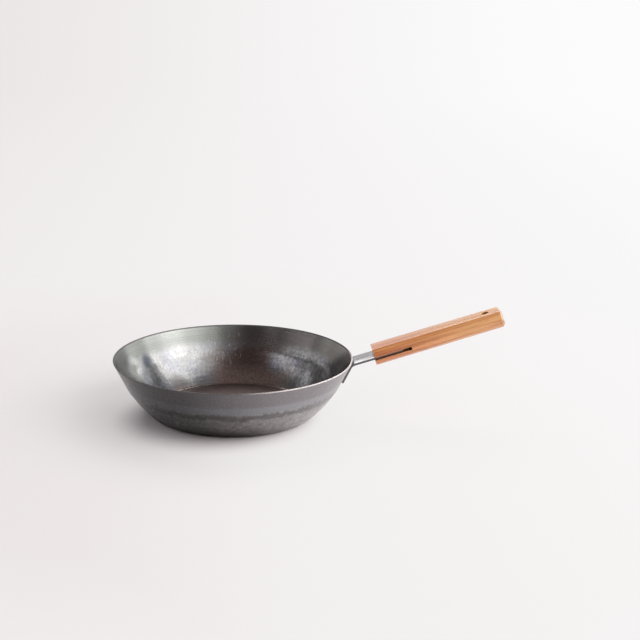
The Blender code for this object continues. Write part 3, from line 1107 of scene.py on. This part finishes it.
def wavy_height(place, height, across):
    """Height with the slow shake, the short teeth and the tilt of the painted line of shade."""
    shake = times(less(lumps(place, 85.0, 3.0), 0.5), 0.011)
    teeth = times(less(streaks(place, (330.0, 330.0, 90.0), 2.0), 0.5), 0.006)
    return plus(plus(height, times(across, SHADE_LINE_TILT)), plus(shake, teeth))


def iron_outside():
    material, shader, place = new_finish("iron_outside", 0.85)
    height, across = axis(place, "Z"), axis(place, "X")
    cloud = lumps(place, 36.0, 4.0, 0.6)
    mottle = lumps(place, 150.0, 4.0, 0.6)
    wavy = wavy_height(place, height, across)
    scaly = soft_step(mottle, 0.38, 0.75, 0.08, 0.58)
    colour = mixed(scaly, OUTSIDE_MOTTLE, OUTSIDE_SCALE_AND_SHADE)
    # Painted highlight over the ridge.
    colour = mixed(soft_step(wavy, *RIDGE_EDGE), colour, OUTSIDE_RIDGE_HIGHLIGHT)
    colour = mixed(soft_step(height, *OUTER_BAND_EDGE), colour, OUTSIDE_BAND)
    # Painted shade: a wavy dark line under the ridge.
    off_line = maths("ABSOLUTE", less(wavy, SHADE_LINE_HEIGHT))
    colour = mixed(soft_step(off_line, *SHADE_LINE_EDGE, 0.70, 0.0), colour, OUTSIDE_SCALE_AND_SHADE)
    burnt_and_shaded = soft_step(plus(height, times(cloud, 0.008)), *BURNT_EDGE, 1.0, 0.0)
    # The base's black is real, and it is also painted much darker on the left as painted shade.
    burnt_and_shaded = times(burnt_and_shaded, soft_step(across, -0.006, 0.050, 0.95, 0.14))
    colour = mixed(burnt_and_shaded, colour, OUTSIDE_BURNT_SHADE)
    # Painted shade: the whole outside is painted darker and darker away from the handle.
    side_light = soft_step(plus(across, times(cloud, 0.02)), *SIDE_SHADE_EDGE, SHADED_SIDE_SHARE, LIT_SIDE_SHARE)
    gloss = plus(soft_step(mottle, 0.3, 0.7, 0.24, 0.30), times(burnt_and_shaded, 0.15))
    grain = times(lumps(place, 420.0, 4.0, 0.65), soft_step(height, *BAND_EDGE, 1.0, 0.12))
    ringed = times(tool_rings(height, 1100.0), times(soft_step(height, *BAND_EDGE), 0.4))
    set_surface(shader, scaled(colour, side_light), gloss, plus(grain, ringed), OUTSIDE_GRAIN_DEPTH)
    return material


dress([pan], inside_finish, rim_finish, iron_outside())
print("pan finished:", [finish.name for finish in pan.data.materials])

# %% [markdown]
# ## Steel of the strap, the welds and the screws
# The strap is satin stainless steel, brushed along its length, with darker sheared edges, which
# take on the wood's colour inside the saw cut. The welds are greyer and rougher. The screws have
# the fine rings of a lathe.

# %% Satin steel
STEEL = (0.395, 0.388, 0.393)
STEEL_DULL = (0.325, 0.318, 0.323)
SHEARED = (0.16, 0.15, 0.155)
SHEARED_IN_WOOD = (0.26, 0.19, 0.16)
SHEARED_EDGE = (STRAP_WIDTH / 2 - 0.0003, STRAP_WIDTH / 2 - 0.00005)
INTO_WOOD = (NECK_LENGTH, NECK_LENGTH + 0.004)
BRUSH_DEPTH = 0.00002


def satin_steel():
    material, shader, place = new_finish("satin_steel", 1.0)
    brush = streaks(place, (60.0, 2600.0, 2600.0), 4.0, 0.6)
    cloud = lumps(place, 90.0, 3.0)
    colour = mixed(soft_step(cloud, 0.35, 0.7), STEEL, STEEL_DULL)
    colour = mixed(soft_step(brush, 0.45, 0.75, 0.0, 0.35), colour, STEEL_DULL)
    sheared = mixed(soft_step(axis(place, "X"), *INTO_WOOD), SHEARED, SHEARED_IN_WOOD)
    at_edge = soft_step(maths("ABSOLUTE", axis(place, "Y")), *SHEARED_EDGE)
    gloss = plus(soft_step(brush, 0.3, 0.7, 0.22, 0.34), times(at_edge, 0.12))
    set_surface(shader, mixed(at_edge, colour, sheared), gloss, brush, BRUSH_DEPTH)
    return material


dress([strap], satin_steel())
print("strap finished")

# %% Weld metal and screw steel
WELD_PALE = (0.42, 0.41, 0.40)
WELD_DARK = (0.20, 0.18, 0.17)
WELD_GRAIN_DEPTH = 0.00005
SCREW_PALE = (0.58, 0.57, 0.55)
SCREW_DARK = (0.42, 0.41, 0.40)
LATHE_DEPTH = 0.00001


def weld_metal():
    material, shader, place = new_finish("weld_metal", 1.0)
    cloud = lumps(place, 900.0, 4.0, 0.65)
    colour = mixed(soft_step(cloud, 0.35, 0.65), WELD_PALE, WELD_DARK)
    set_surface(shader, colour, soft_step(cloud, 0.3, 0.7, 0.36, 0.56), cloud, WELD_GRAIN_DEPTH)
    return material


def screw_steel():
    material, shader, place = new_finish("screw_steel", 1.0)
    lathe = tool_rings(off_axis(place), 5000.0)
    colour = mixed(soft_step(lathe, 0.3, 0.7), SCREW_PALE, SCREW_DARK)
    set_surface(shader, colour, soft_step(lathe, 0.3, 0.7, 0.26, 0.38), lathe, LATHE_DEPTH)
    return material


dress(beads, weld_metal())
dress(screws, screw_steel())
print(len(beads) + len(screws), "small pieces finished")

# %% [markdown]
# ## Oiled wood
# A light reddish hardwood with straight grain along the handle, redder towards the pan. Grain is
# noise stretched about twenty to ninety times longer than it is wide: broad bands of early and
# late wood, dark threads and pale glints between them, and fine dark pores. The far end shows
# end grain, and the holes and the saw cut get painted shade inside, fully rough and uncoated.
# Oil evens the gloss, and a touch of it sits on top as a thin coat.

# %% The wood's colours and places
WOOD_PALE = (0.85, 0.405, 0.138)
WOOD_LATE = (0.62, 0.245, 0.072)
WOOD_RED = (0.77, 0.262, 0.062)
WOOD_RED_LATE = (0.55, 0.155, 0.032)
WOOD_PORE = (0.28, 0.09, 0.03)
WOOD_THREAD = (0.42, 0.115, 0.026)
WOOD_SHEEN = (0.96, 0.52, 0.20)
WOOD_END = (0.43, 0.255, 0.118)
# Painted shade for the inside of the holes and of the saw cut.
HOLE_SHADE = (0.06, 0.028, 0.014)
SLOT_SHADE = (0.34, 0.15, 0.07)
REDDENED_EDGE = (0.045, 0.155)
BODY_END = NECK_LENGTH + HANDLE_LENGTH - END_CHAMFER
END_GRAIN_EDGE = (BODY_END - 0.0002, BODY_END + 0.0006)
HANG_EDGE = (HANG_RADIUS + 0.0001, HANG_RADIUS + 0.0003)
HANG_DEEP = (0.007, 0.0095)
# Height where the top face starts, and how much lighter it is painted, as painted light from above.
LIT_TOP_EDGE = (0.0088, 0.0096)
LIT_TOP_LIFT = 1.17
RELIEF_EDGE = (RELIEF_RADIUS + 0.0001, RELIEF_RADIUS + 0.0003)
SLOT_SIDE = (SLOT_HALF + 0.00005, SLOT_HALF + 0.00015)
SLOT_DEEP = (SLOT_END, SLOT_END + 0.0003)
COAT = {"Coat Roughness": 0.20, "Coat IOR": 1.7}
PORE_DEPTH = 0.00004
print("wood body ends at", mm(BODY_END), "mm from the bend")

# %% The wood's finish
def wood_colour(place, bands, fibres, threads, pore_share):
    """Long grain: red near the pan and paler away from it, with threads, glints and pores."""
    late = soft_step(plus(times(bands, 0.7), times(fibres, 0.3)), 0.40, 0.60)
    age = plus(axis(place, "X"), times(bands, 0.03))
    colour = mixed(soft_step(age, *REDDENED_EDGE), mixed(late, WOOD_RED, WOOD_RED_LATE),
                   mixed(late, WOOD_PALE, WOOD_LATE))
    colour = mixed(pore_share, colour, WOOD_PORE)
    colour = mixed(soft_step(threads, 0.57, 0.66, 0.0, 0.45), colour, WOOD_THREAD)
    return mixed(soft_step(threads, 0.34, 0.43, 0.35, 0.0), colour, WOOD_SHEEN)


def inside_cuts(place):
    """Shares of the hanging hole, the relief hole and the saw cut, which get painted shade."""
    along_bar, up = axis(place, "X"), axis(place, "Z")
    off_hang = off_axis(vectors("SUBTRACT", place, HANG_PLACE)[0])
    in_hang = times(soft_step(off_hang, *HANG_EDGE, 1.0, 0.0), soft_step(up, *HANG_DEEP, 1.0, 0.0))
    from_relief = vectors("SUBTRACT", place, RELIEF_PLACE)[0]
    in_relief = soft_step(off_axis(from_relief, (1.0, 0.0, 1.0)), *RELIEF_EDGE, 1.0, 0.0)
    in_slot = times(soft_step(maths("ABSOLUTE", up), *SLOT_SIDE, 1.0, 0.0),
                    soft_step(along_bar, *SLOT_DEEP, 1.0, 0.0))
    return in_hang, in_relief, in_slot


def oiled_wood():
    material, shader, place = new_finish("oiled_wood", 0.0)
    bands = streaks(place, (9.0, 210.0, 210.0), 3.0, 0.5, 0.4)
    fibres = streaks(place, (26.0, 1300.0, 1300.0), 3.0, 0.6)
    pores = streaks(place, (140.0, 3600.0, 3600.0), 2.0)
    threads = streaks(place, (7.0, 620.0, 620.0), 2.0, 0.5)
    pore_share = soft_step(pores, 0.60, 0.76, 0.0, 0.55)
    in_hang, in_relief, in_slot = inside_cuts(place)
    colour = wood_colour(place, bands, fibres, threads, pore_share)
    colour = mixed(soft_step(axis(place, "X"), *END_GRAIN_EDGE), colour, WOOD_END)
    # Painted light: the top face is painted lighter than the sides.
    colour = scaled(colour, soft_step(axis(place, "Z"), *LIT_TOP_EDGE, 1.0, LIT_TOP_LIFT))
    # Painted shade: the holes and the saw cut are painted dark inside, where shade falls.
    colour = mixed(in_hang, colour, HOLE_SHADE)
    colour = mixed(in_slot, colour, SLOT_SHADE)
    colour = mixed(in_relief, colour, HOLE_SHADE)
    # The painted shade inside the cuts is also left fully rough and without coat.
    in_shaded_cuts = larger(larger(in_relief, in_slot), in_hang)
    gloss = larger(soft_step(fibres, 0.3, 0.7, 0.26, 0.36), in_shaded_cuts)
    wire(shader, {"Coat Weight": less(1.0, in_shaded_cuts), **COAT})
    set_surface(shader, colour, gloss, less(times(fibres, 0.4), pore_share), PORE_DEPTH)
    return material


dress([wood], oiled_wood())
print("wood finished")

# %% [markdown]
# ## Floor and backdrop
# The studio is one white sweep: a floor that curves up into a wall all round, so that every view
# ends in the same pale grey. It is stage, not part of the pan. Near the pan the paper is plain
# where it takes its shadow, and round that shadow a painted glow lifts it, weaker on the left
# than on the right. Farther off it looks evenly lit from behind, to the eye and in the iron, a
# little dimmer on the left, and so it also gives the iron its pale low reflections.

# %% The sweep
FLOOR_RADIUS = 3.5
FLOOR_HOLE = 0.05
SWEEP_RADIUS = 0.5
WALL_TOP = 1.25
SWEEP_STEPS = 16
SWEEP_SIDES = 96
SWEEP_MERGE = 1e-5
FLOOR_DROP = 0.0002


def sweep_backdrop():
    section = [(FLOOR_HOLE, -FLOOR_DROP), (FLOOR_RADIUS, -FLOOR_DROP)]
    for index in range(1, SWEEP_STEPS + 1):
        turn = pi / 2 * index / SWEEP_STEPS
        section.append((FLOOR_RADIUS + SWEEP_RADIUS * sin(turn),
                        SWEEP_RADIUS * (1 - cos(turn)) - FLOOR_DROP))
    section.append((FLOOR_RADIUS + SWEEP_RADIUS, WALL_TOP))
    bm = spun(section, SWEEP_SIDES, SWEEP_MERGE)
    middle = [edge for edge in bm.edges if edge.is_boundary and edge.verts[0].co.z < 0]
    bmesh.ops.edgeloop_fill(bm, edges=middle)
    sweep = add_object("studio_sweep", mesh_from("studio_sweep", bm))
    sweep.data.shade_smooth()
    return sweep


sweep = sweep_backdrop()
print("floor", 2 * FLOOR_RADIUS, "m across")

# %% The sweep's paint
PAPER = (0.87, 0.84, 0.845)
PAPER_SHADE = (0.83, 0.765, 0.765)
GLOW_LEFT = (0.82, 0.775, 0.775)
GLOW_RIGHT = (0.975, 0.975, 0.98)
GLOW_EDGE = (-1.6, 1.6)
SHADOW_LEAN = (0.16, 0.20, 0.0)
SHADOW_EDGE = (0.074, 0.112)
NEAR_GLOW_EDGE = (-0.13, 0.06)
NEAR_GLOW_LEFT = 0.42
NEAR_GLOW_RIGHT = 0.82
FAR_GLOW_EDGE = (0.124, 0.7)


def paper():
    """Matt paper in the pan's shadow, a painted glow round the shadow and far off, for camera,
    mirror and glass rays.
    """
    material, shader, place = new_finish("matt_paper", 0.0)
    colour = mixed(lumps(place, 0.8, 2.0), PAPER, PAPER_SHADE)
    wire(shader, {"Base Color": colour, "Roughness": 0.9, "Specular IOR Level": 0.1})
    across, distance = axis(place, "X"), off_axis(place)
    glow = mixed(soft_step(across, *GLOW_EDGE), GLOW_LEFT, GLOW_RIGHT)
    lit = joined("ShaderNodeEmission", {"Color": glow, "Strength": 1.0}).outputs[0]
    rays = new_node(material.node_tree, "ShaderNodeLightPath").outputs
    seen = larger(rays["Is Camera Ray"], larger(rays["Is Glossy Ray"], rays["Is Transmission Ray"]))
    # Painted glow round the shadow near the pan, weaker on the left and stronger on the right.
    plateau = soft_step(across, *NEAR_GLOW_EDGE, NEAR_GLOW_LEFT, NEAR_GLOW_RIGHT)
    off_shadow = plus(distance, vectors("DOT_PRODUCT", place, SHADOW_LEAN)["Value"])
    near = soft_step(off_shadow, *SHADOW_EDGE, 0.0, plateau)
    share = times(seen, larger(near, soft_step(distance, *FAR_GLOW_EDGE)))
    blend = joined("ShaderNodeMixShader", {0: share, 1: shader.outputs[0], 2: lit}).outputs[0]
    wire(material.node_tree.nodes["Material Output"], {"Surface": blend})
    return material


dress([sweep], paper())
print("paper", PAPER)

# %% [markdown]
# ## Lamps
# Iron shows what it mirrors, so the lamps are placed where the photograph's highlights point: a
# broad window on the right and a little in front, 35 degrees up, made of a core, an edge and two
# spills, with a low window beside it, four narrow fills on the left at the heights where the
# walls mirror them, and a bright panel behind. Each lamp is given as a direction, a size and a
# brightness, and its power follows from them. The room is dim, under a paler ceiling.

# %% Softboxes
COOL = (0.95, 0.94, 1.0)
LAMPS = [("window_core", -3, 28, 2.9, 2.2, 1.3, 1.4),
         ("window", -12, 34, 2.95, 3.3, 2.0, 1.45),
         ("window_edge", 20, 48, 3.1, 1.4, 1.3, 0.7),
         ("window_spill", -32, 42, 3.0, 3.1, 2.3, 1.22),
         ("front_spill", -72, 32, 3.1, 2.0, 0.9, 0.55),
         ("low_window", 33, 15, 3.3, 2.0, 1.2, 1.35),
         ("left_fill", 204, 44, 3.0, 2.6, 0.42, 1.75, COOL),
         ("left_low", 200, 27, 3.0, 2.2, 0.42, 1.0),
         ("left_foot", 172, 19, 3.1, 1.9, 0.5, 0.55),
         ("left_end", 158, 34, 3.0, 0.8, 0.36, 1.2, COOL),
         ("back_panel", 84, 41, 3.2, 3.6, 1.4, 3.1)]


def softbox(name, turn, rise, distance, width, height, brightness, tint=(1.0, 1.0, 1.0)):
    """An area lamp, turned in degrees from the photograph's right towards away, and raised."""
    side, lift = radians(turn), radians(rise)
    direction = cos(lift) * (cos(side) * RIGHT + sin(side) * AWAY) + sin(lift) * UP
    data = bpy.data.lights.new(name, "AREA")
    data.shape = "RECTANGLE"
    data.size, data.size_y = width, height
    data.energy = brightness * pi * width * height
    data.color = tint
    lamp = add_object(name, data)
    facing = direction.to_track_quat("Z", "Y").to_matrix().to_4x4()
    lamp.matrix_world = Matrix.Translation(direction * distance) @ facing
    lamp.visible_camera = False
    return lamp


lamps = [softbox(*row) for row in LAMPS]
print("lamps in W:", [round(lamp.data.energy) for lamp in lamps])

# %% The room's own light
ROOM = (0.165, 0.160, 0.162)
CEILING = (0.31, 0.30, 0.30)
CEILING_EDGE = (sin(radians(42)), sin(radians(78)))


def dim_room():
    world = bpy.data.worlds.new("dim_room")
    world.use_nodes = True
    tree = world.node_tree
    upward = axis(new_node(tree, "ShaderNodeTexCoord").outputs["Generated"], "Z")
    light = mixed(soft_step(upward, *CEILING_EDGE), ROOM, CEILING)
    wire(tree.nodes["Background"], {"Color": light})
    return world


bpy.context.scene.world = dim_room()
bpy.context.scene.view_settings.view_transform = "Standard"
print("room", ROOM, "ceiling", CEILING)
